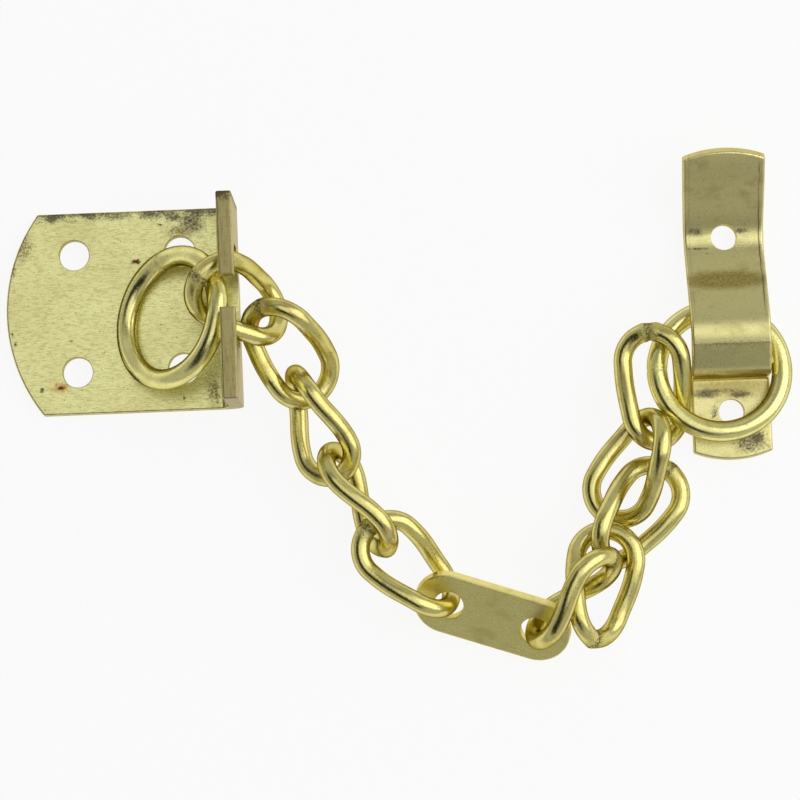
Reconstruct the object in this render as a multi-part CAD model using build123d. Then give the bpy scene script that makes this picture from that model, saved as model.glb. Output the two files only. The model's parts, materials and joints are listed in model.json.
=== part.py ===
from build123d import *

import os
from math import acos, atan2, degrees, radians, tan
from typing import NamedTuple

# Door security chain: a bent sheet bracket for the door, twisted welded links
# with a plain tag plate among them, a ring at each end and a bent strap for the
# door frame. Millimetres. The origin is the middle of the bracket's four screw
# holes on its back face, and the whole set lies on the plane z = 0.

# Bracket, one bent sheet
SHEET = 3.0
PLATE_HEIGHT = 40.0
PLATE_REACH = 24.2
PLATE_ROUND = 33.0
FLANGE_INSIDE = 19.2
FLANGE_RISE = 25.5
BEND = 1.5
SHEET_ROUND = 0.4
SCREW_HOLE = 6.0
SCREW_ACROSS = 21.0
SCREW_UP = 23.3

# Opening in the flange that a link passes edge on, then turns in
WINDOW_PLAY = 4.6
WINDOW_SILL = 6.0
WINDOW_LIP = 3.3
WINDOW_CORNER = 4.0
WINDOW_RISE = 0.8
MOUTH_PLAY = 2.5

# Twisted links
LINK_WIRE = 3.66
LINK_LENGTH = 25.4
LINK_WIDTH = 15.2
LINK_TWIST = 46.0
LINK_LEAD = 1.5

# Rings at the two ends. The strap's is wide enough inside for the strap and a
# link's wire beside it.
RING_WIRE = 4.06
END_RING_INNER = 20.68
STRAP_RING_PLAY = 1.42

# Room between two wires where they bear on each other
WIRE_GAP = 0.25

# Tag plate in the middle of the chain
TAG_LENGTH = 31.5
TAG_WIDTH = 13.0
TAG_SHEET = 2.2
TAG_PITCH = 17.6
TAG_PLAY = 1.1
TAG_ROUND = 0.3

# Strap, one bent strip: foot, riser, hump over the ring, valley and tail.
# The rooms are over the ring's wire, under the shoulder and under the hump.
STRIP = 2.5
STRIP_ROUND = 0.5
STRAP_WIDTH = 15.6
STRAP_ROUND = 20.0
STRAP_HOLE = 5.1
STRAP_SIDE = 0.18
FOOT_LENGTH = 17.5
RISER_SETBACK = 12.0
SHOULDER_ROOM = 0.89
HUMP_SETBACK = 4.4
HUMP_ROOM = 4.09
VALLEY_REACH = 14.6
VALLEY_DIP = 0.35
TAIL_LENGTH = 16.5
TAIL_RISE = 9.25
FOOT_HOLE_INSET = 9.4
FOOT_BEND = 2.0
SHOULDER_BEND = 1.8
HUMP_BEND = 5.0
VALLEY_BEND = 4.0
RING_LIFT = 0.67

LINK_BOW = (LINK_WIDTH - LINK_WIRE) / 2
LINK_HALF = (LINK_LENGTH - LINK_WIDTH) / 2
STRAP_RING_INNER = STRAP_WIDTH + LINK_WIRE + STRAP_RING_PLAY
END_RING_RADIUS = (END_RING_INNER + RING_WIRE) / 2
STRAP_RING_RADIUS = (STRAP_RING_INNER + RING_WIRE) / 2
FLANGE_HEIGHT = SHEET + FLANGE_RISE
WINDOW_WIDTH = LINK_WIDTH + WINDOW_PLAY
MOUTH_WIDTH = LINK_WIRE + MOUTH_PLAY
TAG_HOLE = LINK_WIRE + 2 * TAG_PLAY


class Lay(NamedTuple):
    """How a piece lies in its neighbour, as the photograph shows the chain.

    heading, dip and roll turn it, in degrees. parent_at is where the wires
    cross on the neighbour, along its wire from the middle of its far bow, and
    own_at the same from the middle of its own near bow. side is the side that
    it crosses on, and slack is how far it stands off there.
    """

    heading: float
    dip: float
    roll: float
    parent_at: float = 0.0
    own_at: float = 0.0
    side: int = 1
    slack: float = 0.0


# The first link stands in the flange's opening, so far from the flange's inner
# face and from the middle of the opening
FIRST_LINK = Lay(-27, -41, -9)
FIRST_OFFSET = Vector(3.3, -0.3, -1.0)

END_RING = Lay(-6, 42, -6, parent_at=8.0, own_at=9, side=1, slack=0.2)
LEFT_LINKS = [
    Lay(-60, -28, 12, -5.5, 9.0, 1),
    Lay(-70, -5, 55, -2.5, 8.5, 1),
    Lay(-62, -1, -87, 5.5, -1.0, -1, 0.4),
    Lay(-44, -10, -27, -7.0, -3.0, 1),
]
TAG = Lay(-19, 2, 31, parent_at=0.0)
TAG_LINK = Lay(45, 14, 87, own_at=3.0)
RIGHT_LINKS = [
    Lay(77, -12, 22, -13.0, -14.5, -1, 0.5),
    Lay(49, -13, 21, -6.5, 6.5, 1, 0.1),
    Lay(61, 16, -32, 12.0, 11.5, -1, 1.7),
    Lay(93, 8, 7, 3.0, -7.0, 1),
]
STRAP_RING = Lay(-2, -2, -10, parent_at=-3.0, own_at=151, side=-1)


def tilt(lay: Lay) -> Location:
    """The turn of a piece: about its length, then up, then round."""
    return Rot(0, 0, lay.heading) * Rot(0, -lay.dip, 0) * Rot(lay.roll, 0, 0)


def limb(side: int) -> Curve:
    """One long side of a twisted link: it leaves each bow straight and slants across."""
    far = bow_place(1) * Pos(0, side * LINK_BOW, 0)
    near = bow_place(-1) * Pos(0, side * LINK_BOW, 0)
    start = far.position
    stop = near.position
    lead = Vector(LINK_LEAD, 0, 0)
    lean = atan2(abs(stop.Z - start.Z), 2 * LINK_HALF - 2 * LINK_LEAD)
    radius = 0.95 * LINK_LEAD / tan(lean / 2)
    return FilletPolyline(start, start - lead, stop + lead, stop, radius=radius)


def bow_place(end: int) -> Location:
    """Middle of a bow, turned by half of the twist: 1 for the far end, -1 for the near."""
    return Location((end * LINK_HALF, 0, 0), (-end * LINK_TWIST / 2, 0, 0))


def bow(end: int, start: float, sweep_angle: float) -> Edge:
    """Part of the round end of a link."""
    return (bow_place(end) * CenterArc((0, 0, 0), LINK_BOW, start, sweep_angle)).edge()


def link_path() -> Wire:
    """Middle line of a link, from the middle of its far bow round to it again."""
    edges = [bow(1, 0, 90)]
    edges += limb(1).edges()
    edges += [bow(-1, 90, 180)]
    edges += limb(-1).edges()
    edges += [bow(1, -90, 90)]
    return Wire(edges)


def rod(path) -> Part:
    """Round wire along a path."""
    return sweep(Plane(origin=path @ 0, z_dir=path % 0) * Circle(LINK_WIRE / 2), path=path)


def make_link() -> Part:
    """Welded link whose two bows stand turned against each other."""
    sides = rod(limb(1)) + rod(limb(-1))
    return sides + rod(bow(1, -90, 180)) + rod(bow(-1, 90, 180))


def ring_path(radius: float) -> Wire:
    """Middle line of a ring."""
    return Wire([CenterArc((0, 0, 0), radius, 0, 360).edge()])


def make_ring(radius: float) -> Part:
    """Plain round ring."""
    return Torus(radius, RING_WIRE / 2)


def at(path: Wire, station: float) -> Vector:
    """Point of a closed path, so far along it."""
    return path.position_at(station % path.length, PositionMode.LENGTH)


def along(path: Wire, station: float) -> Vector:
    """Direction of a closed path, so far along it."""
    return path.tangent_at(station % path.length, PositionMode.LENGTH)


def hook(parent: Wire, child: Wire, lay: Lay, own_at: float, reach: float) -> Location:
    """Place of a piece whose wire bears on its neighbour's where the two cross.

    parent and child are middle lines, child not yet placed. own_at is the
    crossing along the child and reach is from one middle line to the other.
    """
    turned = tilt(lay) * child
    across = along(parent, lay.parent_at).cross(along(turned, own_at)).normalized()
    point = at(parent, lay.parent_at) + across * (lay.side * (reach + lay.slack))
    return Location(point - at(turned, own_at)) * tilt(lay)


def hook_link(parent: Wire, child: Wire, lay: Lay) -> Location:
    """Place of a link in the link before it."""
    return hook(parent, child, lay, child.length / 2 + lay.own_at, LINK_WIRE + WIRE_GAP)


def hook_ring(parent: Wire, radius: float, lay: Lay) -> Location:
    """Place of a ring in a link. Its own crossing is an angle round the ring."""
    reach = (LINK_WIRE + RING_WIRE) / 2 + WIRE_GAP
    return hook(parent, ring_path(radius), lay, radians(lay.own_at) * radius, reach)


def make_bracket() -> Part:
    """Plate with a rounded edge and an upright flange, open at its free edge."""
    left = -PLATE_REACH
    corner = FLANGE_INSIDE + SHEET / 2
    bend = FilletPolyline(
        (left, 0, SHEET / 2),
        (corner, 0, SHEET / 2),
        (corner, 0, FLANGE_HEIGHT),
        radius=BEND + SHEET / 2,
    )
    angle = extrude(Plane.XZ * trace_side(bend, SHEET), PLATE_HEIGHT / 2, both=True)
    edge = Pos(left + PLATE_ROUND, 0, 0) * Cylinder(PLATE_ROUND, 4 * FLANGE_HEIGHT)
    holes = GridLocations(SCREW_ACROSS, SCREW_UP, 2, 2) * Cylinder(SCREW_HOLE / 2, 4 * SHEET)
    opening = extrude(Plane.YZ.offset(corner) * flange_opening(), 2 * SHEET, both=True)
    blank = angle & edge
    rims = blank.faces().sort_by(Axis.Y)[0].edges() + blank.faces().sort_by(Axis.Y)[-1].edges()
    rims += blank.faces().sort_by(Axis.X)[0].edges() + blank.faces().sort_by(Axis.Z)[-1].edges()
    return soften(rims, SHEET_ROUND) - holes - opening


def soften(rims: ShapeList, radius: float) -> Part:
    """Round off the rims of a cut blank, as tumbling leaves them."""
    return fillet(set(rims), radius)


def trace_side(path, width: float) -> Sketch:
    """Section of a bent sheet around the middle line that is drawn in x and z."""
    flat = Plane.XZ.to_local_coords(path)
    return trace(flat, line_width=width)


def window_height() -> float:
    """Height of the flange's opening, below the mouth."""
    return FLANGE_RISE - WINDOW_LIP - WINDOW_SILL


def window_middle() -> float:
    """Height of the middle of the flange's opening."""
    return SHEET + WINDOW_SILL + window_height() / 2


def flange_opening() -> Sketch:
    """Rounded window with a mouth up to the free edge, drawn in y and z."""
    window = Pos(WINDOW_RISE, window_middle()) * RectangleRounded(
        WINDOW_WIDTH, window_height(), WINDOW_CORNER
    )
    rise = FLANGE_HEIGHT - window_middle() + SHEET
    mouth = Pos(WINDOW_RISE, window_middle() + rise / 2) * Rectangle(MOUTH_WIDTH, rise)
    return window + mouth


def make_tag() -> Part:
    """Plain plate with round ends and a hole for a link near each end."""
    blank = extrude(SlotOverall(TAG_LENGTH, TAG_WIDTH), TAG_SHEET / 2, both=True)
    rims = blank.faces().sort_by(Axis.Z)[0].edges() + blank.faces().sort_by(Axis.Z)[-1].edges()
    holes = GridLocations(TAG_PITCH, 0, 2, 1) * Cylinder(TAG_HOLE / 2, 2 * TAG_SHEET)
    return soften(rims, TAG_ROUND) - holes


def strap_line() -> Curve:
    """Middle line of the strap's section in y and z, from the foot's end, ring seat at 0."""
    low = STRIP / 2
    over_ring = RING_WIRE + low
    return FilletPolyline(
        (-RISER_SETBACK - FOOT_LENGTH - STRIP, low),
        (-RISER_SETBACK, low),
        (-RISER_SETBACK, over_ring + SHOULDER_ROOM),
        (-HUMP_SETBACK, over_ring + HUMP_ROOM),
        (VALLEY_REACH, low - VALLEY_DIP),
        (VALLEY_REACH + TAIL_LENGTH + STRIP, low + TAIL_RISE + STRIP * tan(tail_slope())),
        radius=(FOOT_BEND, SHOULDER_BEND, HUMP_BEND, VALLEY_BEND),
    )


def tail_slope() -> float:
    """Slope of the tail, out of the valley."""
    return atan2(TAIL_RISE + VALLEY_DIP, TAIL_LENGTH)


def bowed_end(place: Location) -> Part:
    """All that a bowed end leaves of a strip, with y out of that end."""
    reach = 4 * (FOOT_LENGTH + TAIL_LENGTH)
    disc = Pos(0, -STRAP_ROUND, 0) * Cylinder(STRAP_ROUND, reach)
    rest = Pos(0, -STRAP_ROUND - reach / 2, 0) * Box(reach, reach, reach)
    return place * (disc + rest)


def make_strap() -> Part:
    """Bent strip with bowed ends, a hole in the foot and one in the valley."""
    strip = extrude(Plane.YZ * trace(strap_line(), line_width=STRIP), STRAP_WIDTH / 2, both=True)
    foot = -RISER_SETBACK - FOOT_LENGTH
    tail = Pos(0, VALLEY_REACH + TAIL_LENGTH, STRIP / 2 + TAIL_RISE)
    blank = strip & bowed_end(Pos(0, foot, 0) * Rot(0, 0, 180))
    blank = blank & bowed_end(tail * Rot(degrees(tail_slope()), 0, 0))
    ends = blank.faces().sort_by(Axis.Y)
    sides = blank.faces().sort_by(Axis.X)
    rims = set(sides[0].edges() + sides[-1].edges() + ends[0].edges() + ends[-1].edges())
    strap = soften(rims, STRIP_ROUND)
    for reach in (foot + FOOT_HOLE_INSET, VALLEY_REACH):
        strap -= Pos(0, reach, 0) * Cylinder(STRAP_HOLE / 2, 6 * STRIP)
    return strap


def place_pieces() -> dict[str, Location]:
    """Place of every piece but the bracket, from the flange along the chain."""
    path = link_path()
    stands = Vector(FLANGE_INSIDE, WINDOW_RISE, window_middle()) + FIRST_OFFSET
    places = {"link_1": Location(stands) * tilt(FIRST_LINK)}
    from_near = END_RING._replace(parent_at=path.length / 2 + END_RING.parent_at)
    places["end_ring"] = hook_ring(places["link_1"] * path, END_RING_RADIUS, from_near)
    for number, lay in enumerate(LEFT_LINKS, start=2):
        places[f"link_{number}"] = hook_link(places[f"link_{number - 1}"] * path, path, lay)

    last = places["link_5"] * path
    places["tag"] = Location(at(last, TAG.parent_at)) * tilt(TAG) * Pos(TAG_PITCH / 2, 0, 0)
    hole = (places["tag"] * Pos(TAG_PITCH / 2, 0, 0)).position
    turned = tilt(TAG_LINK) * path
    start = hole - at(turned, path.length / 2 + TAG_LINK.own_at)
    places["link_6"] = Location(start) * tilt(TAG_LINK)
    for number, lay in enumerate(RIGHT_LINKS, start=7):
        places[f"link_{number}"] = hook_link(places[f"link_{number - 1}"] * path, path, lay)

    radius = STRAP_RING_RADIUS
    places["strap_ring"] = hook_ring(places["link_10"] * path, radius, STRAP_RING)
    offset = (STRAP_RING_INNER - STRAP_WIDTH) / 2 - STRAP_SIDE
    turn = acos(offset / radius) - radians(STRAP_RING.heading)
    seat = at(places["strap_ring"] * ring_path(radius), turn * radius)
    places["frame_strap"] = Location(seat) * Pos(0, 0, -RING_WIRE / 2 - RING_LIFT)
    return places


def make_pieces() -> dict[str, Part]:
    """All pieces of the chain where they lie."""
    shapes = {"tag": make_tag(), "frame_strap": make_strap()}
    shapes["end_ring"] = make_ring(END_RING_RADIUS)
    shapes["strap_ring"] = make_ring(STRAP_RING_RADIUS)
    link = make_link()
    pieces = {"door_bracket": make_bracket()}
    for name, place in place_pieces().items():
        pieces[name] = place * shapes.get(name, link)
    return pieces


def main() -> None:
    """Write one file for each piece."""
    os.makedirs("parts", exist_ok=True)
    for name, piece in make_pieces().items():
        export_step(piece, f"parts/{name}.step")


if __name__ == "__main__":
    main()
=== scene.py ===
"""Looks of a brass-plated door security chain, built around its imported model.

The chain lies as it does in the photograph: a bent bracket for the door, twisted
welded links with a blank tag among them, a ring at each end and a bent strap for
the door frame. Sizes are in millimetres and turned into metres where they are used.
"""

import json
import logging
from dataclasses import dataclass
from enum import Enum
from math import atan2, cos, degrees, exp, pi, radians, sin, tanh
from typing import Union

import bmesh
import bpy
import numpy as np
from bmesh.types import BMEdge, BMesh, BMVert
from bpy.types import Material, Mesh, Node, NodeSocket, NodeTree, Object
from mathutils import Matrix, Vector

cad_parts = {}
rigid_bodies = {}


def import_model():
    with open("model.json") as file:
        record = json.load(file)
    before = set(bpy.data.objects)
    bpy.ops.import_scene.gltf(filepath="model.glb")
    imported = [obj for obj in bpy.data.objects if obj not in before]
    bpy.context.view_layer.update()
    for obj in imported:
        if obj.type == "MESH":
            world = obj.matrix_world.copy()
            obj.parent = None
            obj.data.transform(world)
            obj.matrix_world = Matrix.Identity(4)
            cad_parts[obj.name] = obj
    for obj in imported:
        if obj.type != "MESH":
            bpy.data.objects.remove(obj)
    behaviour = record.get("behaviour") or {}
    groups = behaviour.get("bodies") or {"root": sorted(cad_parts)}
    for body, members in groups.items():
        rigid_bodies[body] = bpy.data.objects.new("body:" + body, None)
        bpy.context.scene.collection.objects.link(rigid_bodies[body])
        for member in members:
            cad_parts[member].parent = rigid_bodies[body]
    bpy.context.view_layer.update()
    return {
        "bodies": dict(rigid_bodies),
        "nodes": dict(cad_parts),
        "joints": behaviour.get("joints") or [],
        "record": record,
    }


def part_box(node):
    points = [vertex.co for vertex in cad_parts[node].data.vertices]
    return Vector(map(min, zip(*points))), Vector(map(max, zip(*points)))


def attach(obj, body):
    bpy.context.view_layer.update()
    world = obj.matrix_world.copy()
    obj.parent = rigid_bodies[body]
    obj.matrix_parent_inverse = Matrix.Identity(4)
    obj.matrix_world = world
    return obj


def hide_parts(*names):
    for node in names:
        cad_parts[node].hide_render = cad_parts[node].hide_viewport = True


log = logging.getLogger("door_chain")

Value = Union[NodeSocket, float, tuple]
Share = Union[float, np.ndarray]
Pair = tuple[float, float]
Triple = tuple[float, float, float]
Colour = tuple[float, float, float, float]

MM = 0.001
WELD_LAYER = "weld"
FULL_WEIGHT = 100

# Places of the two colours and of the result among a Mix node's sockets.
MIX_FIRST = 6
MIX_SECOND = 7
MIX_RESULT = 2

ORIGIN = (0.0, 0.0, 0.0)
PER_MM = (1.0, 1.0, 1.0)

# Noise runs over about this much, from 0.25 to 0.75.
NOISE_SPAN = 0.5
# Waves of a spot's edge and of the speckle in it, per millimetre.
EDGE_WAVES = (1.6, 1.6, 1.6)
SPECKLE_WAVES = (2.4, 2.4, 2.4)

RUST = (0.23, 0.085, 0.035, 1.0)
RUST_HALO = (0.62, 0.40, 0.13, 1.0)
# Soot colour, also used for painted dark reflections on the strap's foot.
SOOT_AND_PAINTED_REFLECTION = (0.12, 0.10, 0.06, 1.0)
# Dull tarnish colour, also used for painted shade on the walls of the screw holes and a painted dark
# reflection band across the strap's riser.
DULL_AND_PAINTED_SHADE = (0.28, 0.23, 0.09, 1.0)


class WeldEnd(Enum):
    """The bow of a link that its weld is in."""

    NEAR = -1
    FAR = 1


class WeldForm(Enum):
    """How a weld was left."""

    LUMP = "lump"
    PEAK = "peak"
    NODULES = "nodules"


class NodeGraph:
    """Node tree, with a short call for each kind of node.

    Attributes:
        tree: The tree.
    """

    def __init__(self, tree: NodeTree) -> None:
        """Take a tree and empty it."""
        self.tree = tree
        self.tree.nodes.clear()

    def add(self, kind: str, feeds: dict[Union[str, int], Value], **settings: object) -> Node:
        """Add a node, set its properties and fill its inputs.

        Args:
            kind: Type name of the node.
            feeds: Value or output for each input that is filled, by name or place.
            settings: Properties of the node.

        Returns:
            The new node.
        """
        node = self.tree.nodes.new(kind)
        for name, value in settings.items():
            setattr(node, name, value)
        for key, value in feeds.items():
            self.feed(node.inputs[key], value)
        return node

    def feed(self, socket: NodeSocket, value: Value) -> None:
        """Link a socket, or set it where the value is plain.

        Args:
            socket: Input to fill.
            value: Output socket, number or tuple.
        """
        if isinstance(value, NodeSocket):
            self.tree.links.new(value, socket)
        else:
            socket.default_value = value

    def place(self, scale: Triple, shift: Triple = ORIGIN) -> NodeSocket:
        """Object coordinates in millimetres, stretched for a pattern.

        Args:
            scale: Stretch along each axis, per millimetre.
            shift: Shift of the pattern, after the stretch.

        Returns:
            Vector output.
        """
        where = self.add("ShaderNodeTexCoord", {}).outputs["Object"]
        feeds = {"Vector": where, "Scale": tuple(s / MM for s in scale), "Location": shift}
        return self.add("ShaderNodeMapping", feeds).outputs["Vector"]

    def noise(self, vector: NodeSocket, detail: float, rough: float) -> NodeSocket:
        """Cloudy noise of about one unit in size.

        Args:
            vector: Where it is read.
            detail: Number of finer layers.
            rough: Strength of the finer layers.

        Returns:
            Value output from about 0.25 to 0.75.
        """
        feeds = {"Vector": vector, "Scale": 1.0, "Detail": detail, "Roughness": rough}
        return self.add("ShaderNodeTexNoise", feeds).outputs["Fac"]

    def step(self, value: Value, low: float, high: float, top: float = 1.0) -> NodeSocket:
        """Soft step of a value.

        Args:
            value: Value to step.
            low: Where the step starts.
            high: Where it ends.
            top: Height of the step.

        Returns:
            Value output from 0 to top.
        """
        feeds = {"Value": value, "From Min": low, "From Max": high, "To Max": top}
        return self.add("ShaderNodeMapRange", feeds, interpolation_type="SMOOTHSTEP").outputs["Result"]

    def math(self, operation: str, first: Value, second: Value = 0.0) -> NodeSocket:
        """Blender's arithmetic of that name on two values."""
        return self.add("ShaderNodeMath", {0: first, 1: second}, operation=operation).outputs["Value"]

    def scaled(self, value: NodeSocket, factor: float, offset: float) -> NodeSocket:
        """A value times a factor plus an offset."""
        feeds = {0: value, 1: factor, 2: offset}
        return self.add("ShaderNodeMath", feeds, operation="MULTIPLY_ADD").outputs["Value"]

    def swing(self, noise: NodeSocket, width: float) -> NodeSocket:
        """Noise as a swing about 0, so wide for noise from 0 to 1."""
        return self.scaled(noise, width, -width / 2)

    def most(self, values: list[NodeSocket]) -> NodeSocket:
        """Largest of several masks.

        Args:
            values: Masks, at least one.

        Returns:
            Value output.
        """
        result = values[0]
        for value in values[1:]:
            result = self.math("MAXIMUM", result, value)
        return result

    def mix(self, share: Value, first: Value, second: Value) -> NodeSocket:
        """Mix of two colours, by the share of the second one."""
        feeds = {"Factor": share, MIX_FIRST: first, MIX_SECOND: second}
        return self.add("ShaderNodeMix", feeds, data_type="RGBA").outputs[MIX_RESULT]

    def axis(self, vector: NodeSocket, name: str) -> NodeSocket:
        """The X, Y or Z of a vector."""
        return self.add("ShaderNodeSeparateXYZ", {"Vector": vector}).outputs[name]

    def spot(self, centre: Triple, radius: float, edge: float, ragged: float, stretch: Triple) -> NodeSocket:
        """Ragged round or drawn-out spot on the surface.

        Args:
            centre: Middle in millimetres.
            radius: Radius in millimetres.
            edge: Width of the soft edge in millimetres.
            ragged: How far noise moves the edge, in millimetres.
            stretch: How many times the radius it reaches along x, y and z.

        Returns:
            Mask, 1 inside.
        """
        where = self.place(tuple(1.0 / s for s in stretch))
        middle = tuple(c / s for c, s in zip(centre, stretch))
        far = self.add("ShaderNodeVectorMath", {0: where, 1: middle}, operation="DISTANCE").outputs["Value"]
        wave = self.noise(self.place(EDGE_WAVES, centre), detail=3.0, rough=0.55)
        far = self.math("ADD", far, self.swing(wave, 2 * ragged / NOISE_SPAN))
        return self.math("SUBTRACT", 1.0, self.step(far, radius - edge / 2, radius + edge / 2))


class MetalGraph(NodeGraph):
    """Node tree of one metal material.

    Attributes:
        material: The material that the tree belongs to.
        shader: Its metal shader.
    """

    def __init__(self, name: str) -> None:
        """Start a material with one principled shader.

        Args:
            name: Name of the material.
        """
        self.material: Material = bpy.data.materials.new(name)
        self.material.use_nodes = True
        super().__init__(self.material.node_tree)
        self.shader = self.add("ShaderNodeBsdfPrincipled", {"Metallic": 1.0})
        self.add("ShaderNodeOutputMaterial", {"Surface": self.shader.outputs["BSDF"]})

    def bump(self, height: NodeSocket, depth: float, strength: float) -> None:
        """Raise the surface by a height, on top of what is already there.

        Args:
            height: Height from 0 to 1.
            depth: Height of 1 in millimetres.
            strength: Share of the effect.
        """
        feeds = {"Height": height, "Distance": depth * MM, "Strength": strength}
        normal = self.shader.inputs["Normal"]
        if normal.is_linked:
            feeds["Normal"] = normal.links[0].from_socket
        self.feed(normal, self.add("ShaderNodeBump", feeds).outputs["Normal"])

    def finish(self, colour: Value, roughness: Value, glance: Colour) -> Material:
        """Set the metal's colour and roughness.

        Args:
            colour: Colour output or plain colour.
            roughness: Roughness output or plain number.
            glance: Tint of the metal where it is seen at a glancing angle.

        Returns:
            The material.
        """
        self.feed(self.shader.inputs["Specular Tint"], glance)
        self.feed(self.shader.inputs["Base Color"], colour)
        self.feed(self.shader.inputs["Roughness"], roughness)
        return self.material


@dataclass(frozen=True)
class NoiseLayer:
    """A layer of noise, and the band of it that counts as a mask.

    Attributes:
        scale: Stretch along x, y and z, per millimetre.
        shift: Shift of the pattern.
        detail: Number of finer layers.
        rough: Strength of the finer layers.
        low: Noise at which the mask starts.
        high: Noise at which it is full.
        top: Strength of the full mask.
    """

    scale: Triple
    shift: Triple = ORIGIN
    detail: float = 4.0
    rough: float = 0.6
    low: float = 0.0
    high: float = 1.0
    top: float = 1.0

    def value(self, g: NodeGraph) -> NodeSocket:
        """The noise itself, read in a material."""
        return g.noise(g.place(self.scale, self.shift), self.detail, self.rough)

    def band(self, g: NodeGraph, value: NodeSocket) -> NodeSocket:
        """The mask that a value of this noise gives."""
        return g.step(value, self.low, self.high, self.top)

    def mask(self, g: NodeGraph) -> NodeSocket:
        """Noise and mask in one."""
        return self.band(g, self.value(g))


@dataclass(frozen=True)
class SpotMark:
    """A mark on the plate, in millimetres.

    Attributes:
        centre: Middle of the mark.
        radius: Its radius.
        colour: Its colour.
        dull: Roughness that it has.
        ragged: How uneven its edge is.
        stretch: How many times its radius it reaches along x, y and z.
        broken: How much fine speckle breaks it up, from 0 to 1.
        soft: Width of its soft edge.
    """

    centre: Triple
    radius: float
    colour: Colour
    dull: float = 0.6
    ragged: float = 0.25
    stretch: Triple = (1.0, 1.0, 1.0)
    broken: float = 0.0
    soft: float = 0.5

    def mask(self, g: NodeGraph, origin: Triple) -> NodeSocket:
        """Where the mark is.

        Args:
            g: Material that it is drawn in.
            origin: Point that its place is counted from, in millimetres.

        Returns:
            Mask, 1 inside.
        """
        middle = tuple(o + c for o, c in zip(origin, self.centre))
        spot = g.spot(middle, self.radius, self.soft, self.ragged, self.stretch)
        if self.broken == 0.0:
            return spot
        speckle = NoiseLayer(SPECKLE_WAVES, middle, detail=5.0, rough=0.7, low=0.40, high=0.62).mask(g)
        thin = g.math("ADD", g.math("MULTIPLY", speckle, self.broken), 1.0 - self.broken)
        return g.math("MULTIPLY", spot, thin)


def add_marks(
    g: NodeGraph,
    marks: tuple[SpotMark, ...],
    origin: Triple,
    colour: NodeSocket,
    rough: NodeSocket,
) -> tuple[NodeSocket, NodeSocket]:
    """Lay marks over a finish, the later ones on top.

    Args:
        g: Material that they are drawn in.
        marks: The marks.
        origin: Point that their places are counted from, in millimetres.
        colour: Colour under them.
        rough: Roughness under them.

    Returns:
        Colour and roughness with the marks.
    """
    for mark in marks:
        mask = mark.mask(g, origin)
        colour = g.mix(mask, colour, mark.colour)
        rough = g.math("MAXIMUM", rough, g.math("MULTIPLY", mask, mark.dull))
    return colour, rough


# Painted shade: the walls of the bracket's four screw holes are coloured dark and dull.
HOLE_WALL_SHADE = tuple(
    SpotMark((x, y, 1.2), 2.96, DULL_AND_PAINTED_SHADE, 0.5, 0.08, (1.0, 1.0, 30.0), 0.0, 0.2)
    for x in (10.5, -10.5)
    for y in (11.65, -11.65)
)


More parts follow.
